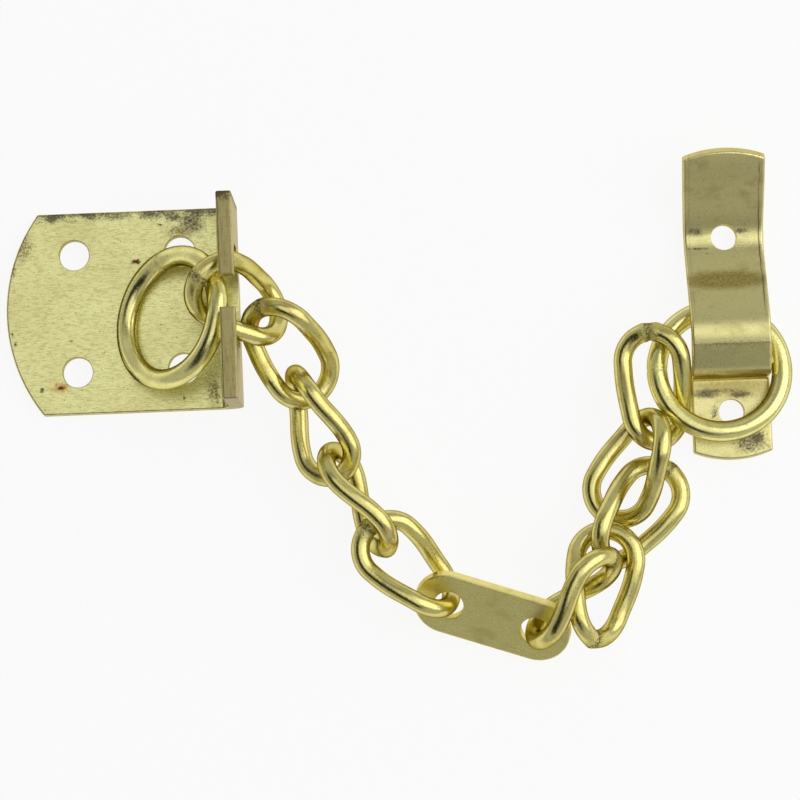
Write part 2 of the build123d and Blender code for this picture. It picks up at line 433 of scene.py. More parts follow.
@dataclass(frozen=True)
class PlatedSheet:
    """Thin bright brass plate on rolled sheet, with grain, dark smears and rust marks, painted shade in its
    screw holes and a painted reflection on the flange's free edge.

    Attributes:
        name: Name of the material.
        brass: Colour of the clean plate.
        tarnish: Colour where it has dulled.
        sheared: Colour of the flange's sheared free edge, a painted darker reflection.
        shear_and_reflection_streaks: Colour of the streaks there, shear marks with painted reflection
            streaks.
        cut_end_grey: Grey colour given to the flange's cut end.
        glance: Its tint at a glancing angle.
        grain: Rolling grain along the sheet.
        cloud: Broad uneven tarnish.
        fine: Fine mottling.
        patch: Where the dark smears along the upper edge gather.
        specks: Small dark specks.
        scuffs: Short scuffs along the grain.
        drawn: Streaks along the sheared edge, shear marks and painted reflections.
        cross: Streaks across the sheared edge, shear marks and painted reflections.
        waves: Slow unevenness of the surface.
        upper_edge: Where smudging starts and is heaviest, along y.
        free_edge: Where the flange's free edge starts and is full, along z.
        cut_end: Where the flange's cut end starts and is full, along y.
        cut_foot: Where that end starts and is full, along z.
        patched: How strongly the smears gather in patches.
        mottled: How strongly the fine mottling breaks them up.
        heavy: Where a smudge starts and is full, and its strength.
        near_edge: How near the upper edge the smears keep.
        polish: Roughness of the clean plate.
        grain_dull: Roughness that the grain adds.
        dirt_dull: Roughness that dirt adds.
        edge_dull: Roughness that the sheared edge adds.
        grain_relief: Depth of the grain in millimetres, and its strength.
        wave_relief: Depth of the waves in millimetres, and their strength.
        marks: Marks on it, with the painted shade of the four hole walls last.
    """

    name: str = "plated_sheet"
    brass: Colour = (0.77, 0.755, 0.345, 1.0)
    tarnish: Colour = (0.45, 0.41, 0.15, 1.0)
    sheared: Colour = (0.42, 0.365, 0.155, 1.0)
    shear_and_reflection_streaks: Colour = (0.20, 0.15, 0.06, 1.0)
    cut_end_grey: Colour = (0.46, 0.45, 0.37, 1.0)
    glance: Colour = (0.62, 0.50, 0.26, 1.0)
    grain: NoiseLayer = NoiseLayer((0.9, 4.2, 4.2), ORIGIN, 4.0, 0.65, 0.44, 0.66, 0.62)
    cloud: NoiseLayer = NoiseLayer((0.11, 0.16, 0.16), ORIGIN, 4.0, 0.6, 0.34, 0.74, 0.30)
    fine: NoiseLayer = NoiseLayer((2.2, 3.0, 3.0), (5.0, 1.0, 0.0), 5.0, 0.7, 0.54, 0.74, 0.35)
    patch: NoiseLayer = NoiseLayer((0.30, 0.42, 0.6), (3.1, 0.4, 0.0), 4.0, 0.6)
    specks: NoiseLayer = NoiseLayer((2.3, 2.3, 2.3), ORIGIN, 2.0, 0.5, 0.67, 0.75, 0.8)
    scuffs: NoiseLayer = NoiseLayer((0.9, 3.4, 3.4), (1.0, 7.0, 0.0), 4.0, 0.7, 0.61, 0.74, 0.45)
    drawn: NoiseLayer = NoiseLayer((4.0, 0.30, 1.0), ORIGIN, 4.0, 0.7, 0.44, 0.70, 0.6)
    cross: NoiseLayer = NoiseLayer((0.25, 2.6, 1.0), (4.0, 2.0, 0.0), 4.0, 0.7, 0.52, 0.72, 0.5)
    waves: NoiseLayer = NoiseLayer((0.16, 0.16, 0.16), ORIGIN, 2.0, 0.55)
    upper_edge: Pair = (14.8, 19.9)
    free_edge: Pair = (28.25, 28.45)
    cut_end: Pair = (-19.75, -19.95)
    cut_foot: Pair = (4.0, 6.0)
    patched: float = 1.1
    mottled: float = 1.2
    heavy: Triple = (0.72, 1.15, 0.9)
    near_edge: Pair = (0.05, 0.4)
    polish: float = 0.16
    grain_dull: float = 0.16
    dirt_dull: float = 0.28
    edge_dull: float = 0.18
    grain_relief: Pair = (0.045, 0.40)
    wave_relief: Pair = (0.10, 0.5)
    marks: tuple[SpotMark, ...] = (
        SpotMark((13.2, 17.2, 3.0), 2.0, SOOT_AND_PAINTED_REFLECTION, 0.5, 0.8, (1.1, 1.0, 1.0), 0.45, 2.6),
        SpotMark((10.4, 15.6, 3.0), 1.4, DULL_AND_PAINTED_SHADE, 0.5, 0.8, (1.6, 0.8, 1.0), 0.6, 2.0),
        SpotMark((9.6, 18.4, 3.0), 0.9, SOOT_AND_PAINTED_REFLECTION, 0.5, 0.6, (1.8, 0.8, 1.0), 0.5, 1.2),
        SpotMark((-20.6, 14.0, 3.0), 1.8, DULL_AND_PAINTED_SHADE, 0.5, 0.8, (1.0, 1.6, 1.0), 0.8, 2.0),
        SpotMark((-22.6, 9.0, 3.0), 0.8, DULL_AND_PAINTED_SHADE, 0.5, 0.5, (0.6, 2.4, 1.0), 0.8, 1.0),
        SpotMark((16.4, -16.4, 3.0), 1.6, DULL_AND_PAINTED_SHADE, 0.5, 0.8, (0.8, 1.8, 1.0), 0.5, 2.4),
        SpotMark((1.8, 10.0, 3.0), 0.62, RUST, 0.6, 0.35, (1.3, 0.8, 1.0)),
        SpotMark((-13.9, -14.6, 3.0), 1.35, RUST_HALO, 0.45, 0.6, (1.2, 0.75, 1.0), 0.3, 1.4),
        SpotMark((-13.9, -14.6, 3.0), 0.5, RUST, 0.6, 0.25, (1.3, 0.8, 1.0)),
        SpotMark((-17.6, -14.9, 3.0), 0.36, SOOT_AND_PAINTED_REFLECTION, 0.5, 0.3, (0.9, 1.2, 1.0)),
        SpotMark((-23.1, -3.7, 3.0), 0.24, SOOT_AND_PAINTED_REFLECTION, 0.5, 0.3, (0.8, 1.6, 1.0), 0.3),
        SpotMark((-22.6, -5.6, 3.0), 0.22, SOOT_AND_PAINTED_REFLECTION, 0.5, 0.3, (1.2, 1.2, 1.0), 0.3),
        SpotMark((-11.6, -5.4, 3.0), 0.18, SOOT_AND_PAINTED_REFLECTION, 0.5, 0.2, (1.6, 0.8, 1.0), 0.3),
        SpotMark((6.7, 17.1, 3.0), 0.28, SOOT_AND_PAINTED_REFLECTION, 0.5, 0.2, (1.4, 0.8, 1.0)),
        SpotMark((10.35, -17.6, 3.0), 0.30, SOOT_AND_PAINTED_REFLECTION, 0.5, 0.2, (0.9, 1.2, 1.0)),
        *HOLE_WALL_SHADE,
    )

    def make(self) -> Material:
        """Build the material.

        Returns:
            The material.
        """
        g = MetalGraph(self.name)
        where = g.place(PER_MM)
        grain = self.grain.value(g)
        cloud = self.cloud.value(g)
        fine = self.fine.value(g)
        dirt = g.most([self.smudge(g, where, fine), self.specks.mask(g), self.scuffs.mask(g)])
        colour = g.mix(self.cloud.band(g, cloud), self.brass, self.tarnish)
        colour = g.mix(self.grain.band(g, grain), colour, self.tarnish)
        colour = g.mix(self.fine.band(g, fine), colour, DULL_AND_PAINTED_SHADE)
        edge = g.step(g.axis(where, "Z"), *self.free_edge)
        # Painted reflection on the flange's free edge: it is coloured darker, with streaks that are shear
        # marks and painted reflections.
        edge_streaks = g.most([self.drawn.mask(g), self.cross.mask(g)])
        colour = g.mix(edge, colour, g.mix(edge_streaks, self.sheared, self.shear_and_reflection_streaks))
        end = g.step(g.axis(where, "Y"), *self.cut_end)
        cut = g.math("MULTIPLY", end, g.step(g.axis(where, "Z"), *self.cut_foot))
        colour = g.mix(cut, colour, self.cut_end_grey)
        colour = g.mix(dirt, colour, SOOT_AND_PAINTED_REFLECTION)
        rough = g.scaled(grain, self.grain_dull, self.polish)
        rough = g.math("ADD", rough, g.math("MULTIPLY", dirt, self.dirt_dull))
        rough = g.math("ADD", rough, g.math("MULTIPLY", edge, self.edge_dull))
        colour, rough = add_marks(g, self.marks, ORIGIN, colour, rough)
        g.bump(grain, *self.grain_relief)
        g.bump(self.waves.value(g), *self.wave_relief)
        return g.finish(colour, rough, self.glance)

    def smudge(self, g: NodeGraph, where: NodeSocket, fine: NodeSocket) -> NodeSocket:
        """Ragged dark smears along the plate's upper edge.

        Args:
            g: Material that they are drawn in.
            where: Place on the sheet, in millimetres.
            fine: Fine mottling, which breaks them up.

        Returns:
            Mask, near 1 on a smudge.
        """
        near = g.step(g.axis(where, "Y"), *self.upper_edge)
        broken = g.math("ADD", g.swing(self.patch.value(g), self.patched), g.swing(fine, self.mottled))
        heavy = g.step(g.math("ADD", near, broken), *self.heavy)
        return g.math("MULTIPLY", heavy, g.step(near, *self.near_edge))


@dataclass(frozen=True)
class SatinStrip:
    """Brass plate over tumbled strip: satin, with a sandy sparkle and dark spots, and on the strap painted
    reflections, a painted highlight and painted shade.

    Attributes:
        name: Name of the material.
        brass: Colour of the clean plate.
        tarnish: Colour where it has dulled.
        glance: Its tint at a glancing angle.
        sand: Sandy grain.
        cloud: Broad uneven tarnish.
        streak: Fine lines along the strip.
        spots: Small dark spots.
        wander: How the line along an edge wanders.
        gaps: Where that line is whole.
        polish: Roughness of the clean plate.
        cloud_dull: Roughness that tarnish adds.
        sand_relief: Depth of the grain in millimetres, and its strength.
        streak_relief: Depth of the lines in millimetres, and their strength.
        line_wanders: How far the line along an edge wanders.
        line_edge: Distance from that line at which it starts to fade and is gone.
        line_left: Strength of the line on the left.
        line_right: Strength that it gains to the right.
        hump_fade: How far from the ring's seat the line sets in.
        marks: Marks on it: dark spots, and on the strap painted reflections, a painted highlight and painted
            shade.
        origin: Point that their places are counted from, in millimetres.
        rim: How far from the middle a dark line follows each long edge, 0 for none.
    """

    name: str = "satin_strip"
    brass: Colour = (0.755, 0.695, 0.31, 1.0)
    tarnish: Colour = (0.42, 0.34, 0.12, 1.0)
    glance: Colour = (0.60, 0.48, 0.22, 1.0)
    sand: NoiseLayer = NoiseLayer((3.2, 3.2, 3.2), ORIGIN, 4.0, 0.7, 0.50, 0.70, 0.30)
    cloud: NoiseLayer = NoiseLayer((0.22, 0.30, 0.30), (0.3, 2.1, 0.0), 5.0, 0.62, 0.50, 0.72, 0.45)
    streak: NoiseLayer = NoiseLayer((2.4, 0.25, 0.25), ORIGIN, 3.0, 0.6)
    spots: NoiseLayer = NoiseLayer((1.5, 1.5, 1.5), (4.0, 1.0, 2.0), 4.0, 0.6, 0.66, 0.74, 0.6)
    wander: NoiseLayer = NoiseLayer((0.2, 0.35, 0.35), (7.0, 0.0, 0.0), 3.0, 0.55)
    gaps: NoiseLayer = NoiseLayer((0.05, 0.16, 0.16), (2.0, 9.0, 4.0), 2.0, 0.5, 0.38, 0.58, 0.9)
    polish: float = 0.15
    cloud_dull: float = 0.28
    sand_relief: Pair = (0.10, 0.30)
    streak_relief: Pair = (0.02, 0.25)
    line_wanders: float = 0.5
    line_edge: Pair = (0.02, 0.26)
    line_left: float = 0.20
    line_right: float = 0.70
    hump_fade: float = 4.0
    marks: tuple[SpotMark, ...] = ()
    origin: Triple = ORIGIN
    rim: float = 0.0

    def make(self) -> Material:
        """Build the material.

        Returns:
            The material.
        """
        g = MetalGraph(self.name)
        sand = self.sand.value(g)
        cloud = self.cloud.value(g)
        colour = g.mix(self.cloud.band(g, cloud), self.brass, self.tarnish)
        colour = g.mix(self.sand.band(g, sand), colour, self.tarnish)
        colour = g.mix(self.spots.mask(g), colour, SOOT_AND_PAINTED_REFLECTION)
        rough = g.scaled(cloud, self.cloud_dull, self.polish)
        colour, rough = add_marks(g, self.marks, self.origin, colour, rough)
        if self.rim:
            colour = g.mix(self.rim_line(g), colour, SOOT_AND_PAINTED_REFLECTION)
        g.bump(sand, *self.sand_relief)
        g.bump(self.streak.value(g), *self.streak_relief)
        return g.finish(colour, rough, self.glance)

    def rim_line(self, g: NodeGraph) -> NodeSocket:
        """Broken dark line inside each long edge above the hump, stronger to the right.

        Args:
            g: Material that it is drawn in.

        Returns:
            Mask, 1 on the line.
        """
        where = g.place(PER_MM)
        x = g.scaled(g.axis(where, "X"), 1.0, -self.origin[0])
        wander = g.scaled(self.wander.value(g), self.line_wanders, self.rim - self.line_wanders / 2)
        off = g.math("SUBTRACT", g.math("ABSOLUTE", x), wander)
        line = g.math("SUBTRACT", 1.0, g.step(g.math("ABSOLUTE", off), *self.line_edge))
        line = g.math("MULTIPLY", line, self.gaps.mask(g))
        right = g.scaled(g.step(x, -1.0, 1.0), self.line_right, self.line_left)
        seat = self.origin[1]
        above = g.step(g.axis(where, "Y"), seat - self.hump_fade, seat + self.hump_fade)
        return g.math("MULTIPLY", line, g.math("MULTIPLY", right, above))


@dataclass(frozen=True)
class PlatedWire:
    """Brass plate over drawn wire: bright, with pits, and dull at the welds.

    Attributes:
        name: Name of the material.
        brass: Colour of the clean plate.
        tarnish: Colour where it has dulled.
        glance: Its tint at a glancing angle.
        cloud: Broad uneven tarnish.
        fine: Fine grain.
        pits: Small dark pits.
        scorch: Where the soot on a weld starts and is full, and its strength.
        polish: Roughness of the clean plate.
        cloud_dull: Roughness that tarnish adds.
        weld_dull: Roughness that a weld adds.
        fine_relief: Depth of the grain in millimetres, and its strength.
        weld_relief: Depth of a weld's crust in millimetres, and its strength.
        cloud_relief: Depth of the unevenness in millimetres, and its strength.
    """

    name: str = "plated_wire"
    brass: Colour = (0.74, 0.67, 0.245, 1.0)
    tarnish: Colour = (0.38, 0.28, 0.05, 1.0)
    glance: Colour = (0.30, 0.22, 0.08, 1.0)
    cloud: NoiseLayer = NoiseLayer((0.30, 0.30, 0.30), ORIGIN, 4.0, 0.6, 0.42, 0.74, 0.45)
    fine: NoiseLayer = NoiseLayer((2.6, 2.6, 2.6), ORIGIN, 4.0, 0.65)
    pits: NoiseLayer = NoiseLayer((1.5, 1.5, 1.5), (2.0, 5.0, 1.0), 5.0, 0.7, 0.605, 0.72, 0.85)
    scorch: Triple = (0.36, 0.56, 0.85)
    polish: float = 0.11
    cloud_dull: float = 0.18
    weld_dull: float = 0.10
    fine_relief: Pair = (0.09, 0.30)
    weld_relief: Pair = (0.35, 0.6)
    cloud_relief: Pair = (0.05, 0.5)

    def make(self) -> Material:
        """Build the material.

        Returns:
            The material.
        """
        g = MetalGraph(self.name)
        weld = g.add("ShaderNodeAttribute", {}, attribute_name=WELD_LAYER).outputs["Fac"]
        cloud = self.cloud.value(g)
        fine = self.fine.value(g)
        crust = g.math("MULTIPLY", weld, fine)
        scorch = g.step(crust, *self.scorch)
        colour = g.mix(self.cloud.band(g, cloud), self.brass, self.tarnish)
        colour = g.mix(g.most([self.pits.mask(g), scorch]), colour, SOOT_AND_PAINTED_REFLECTION)
        rough = g.scaled(cloud, self.cloud_dull, self.polish)
        rough = g.math("ADD", rough, g.math("MULTIPLY", weld, self.weld_dull))
        g.bump(fine, *self.fine_relief)
        g.bump(crust, *self.weld_relief)
        g.bump(cloud, *self.cloud_relief)
        return g.finish(colour, rough, self.glance)


def mesh_piece(name: str, body: str, node: str, bm: BMesh, finish: Material) -> Object:
    """Turn a bmesh into a piece that stands for a CAD node.

    Args:
        name: Name of the piece.
        body: Body that it moves with.
        node: CAD node that it stands for.
        bm: Its mesh, which is freed.
        finish: Its material.

    Returns:
        The piece.
    """
    mesh: Mesh = bpy.data.meshes.new(name)
    bm.to_mesh(mesh)
    bm.free()
    mesh.materials.append(finish)
    mesh.shade_smooth()
    piece = bpy.data.objects.new(name, mesh)
    bpy.context.scene.collection.objects.link(piece)
    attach(piece, body)
    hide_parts(node)
    log.info("%s stands for %s with %d faces", name, node, len(mesh.polygons))
    return piece


def sweep_wire(radius: float, sides: int, frames: list[Matrix], welds: list[float]) -> BMesh:
    """Extrude a round section from frame to frame and close it on itself.

    Args:
        radius: Radius of the wire in metres.
        sides: Corners of the section.
        frames: Place of the section at each step, its z along the wire.
        welds: Strength of the weld at each step, from 0 to 1.

    Returns:
        The closed wire.
    """
    bm = bmesh.new()
    layer = bm.verts.layers.float.new(WELD_LAYER)
    made = bmesh.ops.create_circle(bm, radius=radius, segments=sides, matrix=frames[0])
    verts: list[BMVert] = made["verts"]
    edges: list[BMEdge] = bm.edges[:]
    first = edges
    for vert in verts:
        vert[layer] = welds[0]
    for before, after, weld in zip(frames, frames[1:], welds[1:]):
        made = bmesh.ops.extrude_edge_only(bm, edges=edges)
        verts = [g for g in made["geom"] if isinstance(g, BMVert)]
        fresh = set(verts)
        edges = [g for g in made["geom"] if isinstance(g, BMEdge) and fresh.issuperset(g.verts)]
        bmesh.ops.transform(bm, matrix=after @ before.inverted(), verts=verts)
        for vert in verts:
            vert[layer] = weld
    bmesh.ops.bridge_loops(bm, edges=first + edges)
    bmesh.ops.recalc_face_normals(bm, faces=bm.faces)
    return bm


def principal_frame(node: Object) -> Matrix:
    """Middle of a CAD node and its main axes, the longest spread first.

    Args:
        node: CAD node.

    Returns:
        Right-handed frame, in metres.
    """
    mesh = node.data
    mesh.calc_loop_triangles()
    points = np.array([v.co for v in mesh.vertices])
    corners = points[np.array([t.vertices for t in mesh.loop_triangles])]
    area = np.linalg.norm(np.cross(corners[:, 1] - corners[:, 0], corners[:, 2] - corners[:, 0]), axis=1)
    middles = corners.mean(axis=1)
    centre = (middles * area[:, None]).sum(axis=0) / area.sum()
    spread = np.einsum("n,ni,nj->ij", area, middles - centre, middles - centre)
    axes = np.linalg.eigh(spread)[1][:, ::-1]
    axes[:, 2] = np.cross(axes[:, 0], axes[:, 1])
    frame = Matrix(axes.tolist()).to_4x4()
    frame.translation = Vector(centre)
    return frame


def section_frames(points: list[Vector]) -> list[Matrix]:
    """Frames along a closed line that turn as little as they can.

    Args:
        points: Points of the line, not repeated at its end.

    Returns:
        One frame for each point, its z along the line.
    """
    count = len(points)
    ahead = [(points[(i + 1) % count] - points[i - 1]).normalized() for i in range(count)]
    across = [ahead[0].orthogonal().normalized()]
    for before, after in zip(ahead, ahead[1:]):
        across.append((before.rotation_difference(after) @ across[-1]).normalized())
    last = ahead[-1].rotation_difference(ahead[0]) @ across[-1]
    turn = last.angle(across[0])
    if last.cross(across[0]).dot(ahead[0]) < 0:
        turn = -turn
    frames = []
    for i in range(count):
        x = Matrix.Rotation(turn * i / count, 3, ahead[i]) @ across[i]
        frame = Matrix((x, ahead[i].cross(x), ahead[i])).transposed().to_4x4()
        frame.translation = points[i]
        frames.append(frame)
    return frames


def bell(off: float, width: float) -> float:
    """Bell curve: 1 in the middle, and down to 0.37 at its half-width."""
    return exp(-((off / width) ** 2))


def smooth(share: Share) -> Share:
    """Ease a share from 0 to 1 in and out."""
    return share * share * (3.0 - 2.0 * share)


@dataclass(frozen=True)
class WeldShape:
    """Sizes of the welds in the links' bows, with angles in degrees from the crown.

    Attributes:
        bead: Half-width of the bead.
        scorch: Half-width of the dulled stretch.
        peak_swell: Swelling of a peaked weld, as a share of the wire.
        peak_height: Height of its peak in millimetres.
        peak_fall: Angle over which the peak falls off.
        nodule_at: Angle of each of two nodules.
        nodule: Half-width of a nodule.
        nodule_swell: Swelling of a nodule, as a share of the wire.
        nodule_dip: Depth of the dip between them.
        lump_swell: Swelling of a plain lump.
        lump_rise: How far a lump stands out, in millimetres.
        groove: Half-width of the seam in a lump.
        groove_dip: Depth of that seam, as a share of the wire.
        beyond: Angle that counts as clear of any weld.
    """

    bead: float = 9.0
    scorch: float = 15.0
    peak_swell: float = 0.01
    peak_height: float = 0.45
    peak_fall: float = 12.0
    nodule_at: float = 11.0
    nodule: float = 6.0
    nodule_swell: float = 0.07
    nodule_dip: float = 0.05
    lump_swell: float = 0.06
    lump_rise: float = 0.10
    groove: float = 2.5
    groove_dip: float = 0.04
    beyond: float = 90.0

    def at(self, form: WeldForm, angle: float) -> Triple:
        """Swelling, outward shift and strength of a weld.

        Args:
            form: How the weld was left.
            angle: Angle from the crown.

        Returns:
            Scale of the section, shift in millimetres and strength.
        """
        bead = bell(angle, self.bead)
        strength = bell(angle, self.scorch)
        if form is WeldForm.PEAK:
            peak = self.peak_height * exp(-abs(angle) / self.peak_fall)
            return 1.0 + self.peak_swell * bead, peak, strength
        if form is WeldForm.NODULES:
            twin = bell(abs(angle) - self.nodule_at, self.nodule)
            return 1.0 + self.nodule_swell * twin - self.nodule_dip * bead, 0.0, strength
        groove = bell(angle, self.groove)
        return 1.0 + self.lump_swell * bead - self.groove_dip * groove, self.lump_rise * bead, strength


@dataclass
class TwistedLink:
    """One welded link whose bows stand turned against each other.

    Attributes:
        number: Its place in the chain, from the bracket.
        toward: Node that its far end points to.
        weld: Bow that its weld is in.
        form: How the weld was left.
        wire: Wire diameter.
        length: Length outside.
        width: Width outside.
        twist: Turn of each bow against the middle, in degrees.
        ease: Length over which the twist builds up.
        bow_out: How far the limbs bow out, as a share of the width.
        steps: Steps of a quarter turn of a bow.
        limb_steps: Steps of half a limb.
        sides: Corners of the wire's section.
        shape: Sizes of the weld.
    """

    number: int
    toward: str
    weld: WeldEnd
    form: WeldForm = WeldForm.LUMP
    wire: float = 3.66
    length: float = 25.4
    width: float = 15.2
    twist: float = 27.0
    ease: float = 6.5
    bow_out: float = 0.05
    steps: int = 34
    limb_steps: int = 11
    sides: int = 24
    shape: WeldShape = WeldShape()

    def oval(self) -> list[Vector]:
        """Middle line before the twist, from the crown of the far bow round to it again.

        Returns:
            Points in millimetres, with x along the link and y across it.
        """
        bow = (self.width - self.wire) / 2
        half = (self.length - self.width) / 2
        quarter = []
        for angle in np.linspace(0.0, pi / 2, self.steps, endpoint=False):
            quarter.append((half + bow * cos(angle), bow * sin(angle)))
        for x in np.linspace(half, 0.0, self.limb_steps, endpoint=False):
            quarter.append((x, bow))
        back = [(-x, y) for x, y in quarter[:0:-1]]
        upper = quarter + [(0.0, bow)] + back
        lower = [(-x, -y) for x, y in upper]
        reach = (self.length - self.wire) / 2
        points = []
        for x, y in upper + lower:
            wider = 1.0 + self.bow_out * cos(pi * x / 2 / reach) ** 2
            points.append(Vector((x, y * wider, 0.0)))
        return points

    def line(self) -> list[Vector]:
        """Middle line with its twist, which eases off towards the two crowns.

        Returns:
            Points in millimetres.
        """
        points = []
        for point in self.oval():
            turn = -radians(self.twist) * tanh(point.x / self.ease)
            points.append(Matrix.Rotation(turn, 3, "X") @ point)
        return points

    def weld_at(self, point: Vector) -> Triple:
        """Shape of the weld at a point of the middle line.

        Args:
            point: Point in millimetres.

        Returns:
            Scale of the section, shift in millimetres and strength.
        """
        angle = self.shape.beyond
        bow_starts = (self.length - self.width) / 2
        if point.x * self.weld.value > bow_starts:
            across = Vector((0.0, point.y, point.z)).length
            angle = degrees(atan2(across, abs(point.x - self.weld.value * bow_starts)))
        return self.shape.at(self.form, angle)

    def build(self, nodes: dict[str, Object], finish: Material) -> Object:
        """Model the link where its CAD node lies.

        Args:
            nodes: CAD nodes by name.
            finish: Its material.

        Returns:
            The piece.
        """
        name = f"link_{self.number}"
        place = principal_frame(nodes[name])
        goal = principal_frame(nodes[self.toward]).translation - place.translation
        if goal.dot(place.col[0].to_3d()) < 0:
            place = place @ Matrix.Rotation(pi, 4, "Z")
        points = self.line()
        frames = []
        welds = []
        for point, frame in zip(points, section_frames([p * MM for p in points])):
            scale, shift, strength = self.weld_at(point)
            move = Matrix.Translation(Vector((self.weld.value * shift * MM, 0.0, 0.0)))
            frames.append(place @ move @ frame @ Matrix.Scale(scale, 4))
            welds.append(strength)
        bm = sweep_wire(self.wire / 2 * MM, self.sides, frames, welds)
        return mesh_piece(f"{name}_wire", name, name, bm, finish)


@dataclass
class EndRing:
    """Plain ring of heavier wire, closed with a butt seam.

    Attributes:
        node: CAD node that it stands for.
        seam: Where its seam is, in degrees.
        wire: Wire diameter.
        inner: Width inside.
        groove: Half-width of the seam, in degrees.
        groove_dip: Depth of the seam, as a share of the wire.
        scorch: Half-width of the dulled stretch, in degrees.
        dull: Strength of the dulling.
        steps: Steps round the ring.
        sides: Corners of the wire's section.
    """

    node: str
    seam: float
    wire: float = 4.06
    inner: float = 20.68
    groove: float = 1.6
    groove_dip: float = 0.05
    scorch: float = 4.0
    dull: float = 0.45
    steps: int = 144
    sides: int = 28

    def build(self, nodes: dict[str, Object], finish: Material) -> Object:
        """Model the ring where its CAD node lies.

        Args:
            nodes: CAD nodes by name.
            finish: Its material.

        Returns:
            The piece.
        """
        place = principal_frame(nodes[self.node])
        radius = (self.inner + self.wire) / 2 * MM
        angles = np.linspace(0.0, 2 * pi, self.steps, endpoint=False)
        points = [Vector((radius * cos(a), radius * sin(a), 0.0)) for a in angles]
        frames = []
        welds = []
        for angle, frame in zip(angles, section_frames(points)):
            off = (degrees(angle) - self.seam + 180.0) % 360.0 - 180.0
            scale = 1.0 - self.groove_dip * bell(off, self.groove)
            frames.append(place @ frame @ Matrix.Scale(scale, 4))
            welds.append(self.dull * bell(off, self.scorch))
        bm = sweep_wire(self.wire / 2 * MM, self.sides, frames, welds)
        return mesh_piece(f"{self.node}_wire", self.node, self.node, bm, finish)


@dataclass(frozen=True)
class SheetPiece:
    """A cut and bent piece of sheet: its CAD form with clean, even shading.

    Attributes:
        node: CAD node that it stands for.
        piece: Name of the piece.
        slot: Material slot of the record. Not used.
        merge: Distance within which points are one.
        flat: Angle within which faces are one, in degrees.
        sharp: Angle from which an edge is rounded, in degrees.
        hole_round: Rounding of such an edge.
        round_steps: Steps of the rounding.
    """

    node: str
    piece: str
    slot: str
    merge: float = 0.0005
    flat: float = 0.4
    sharp: float = 50.0
    hole_round: float = 0.15
    round_steps: int = 3

    def build(self, nodes: dict[str, Object], finish: Material) -> Object:
        """Model the piece where its CAD node lies.

        Args:
            nodes: CAD nodes by name.
            finish: Its material.

        Returns:
            The piece.
        """
        bm = bmesh.new()
        bm.from_mesh(nodes[self.node].data)
        bmesh.ops.remove_doubles(bm, verts=bm.verts, dist=self.merge * MM)
        bmesh.ops.dissolve_limit(bm, angle_limit=radians(self.flat), verts=bm.verts, edges=bm.edges)
        self.shape(bm)
        limit = radians(self.sharp)
        bmesh.ops.bevel(
            bm,
            geom=[e for e in bm.edges if len(e.link_faces) == 2 and e.calc_face_angle() > limit],
            offset=self.hole_round * MM,
            offset_type="OFFSET",
            affect="EDGES",
            segments=self.round_steps,
            profile=0.5,
            material=-1,
            clamp_overlap=True,
        )
        piece = mesh_piece(self.piece, self.node, self.node, bm, finish)
        weighted = piece.modifiers.new("even_shading", "WEIGHTED_NORMAL")
        weighted.weight = FULL_WEIGHT
        weighted.mode = "FACE_AREA_WITH_ANGLE"
        return piece

    def shape(self, bm: BMesh) -> None:
        """Change the copied form, which a plain sheet doesn't need.

        Args:
            bm: Copy of the CAD node.
        """


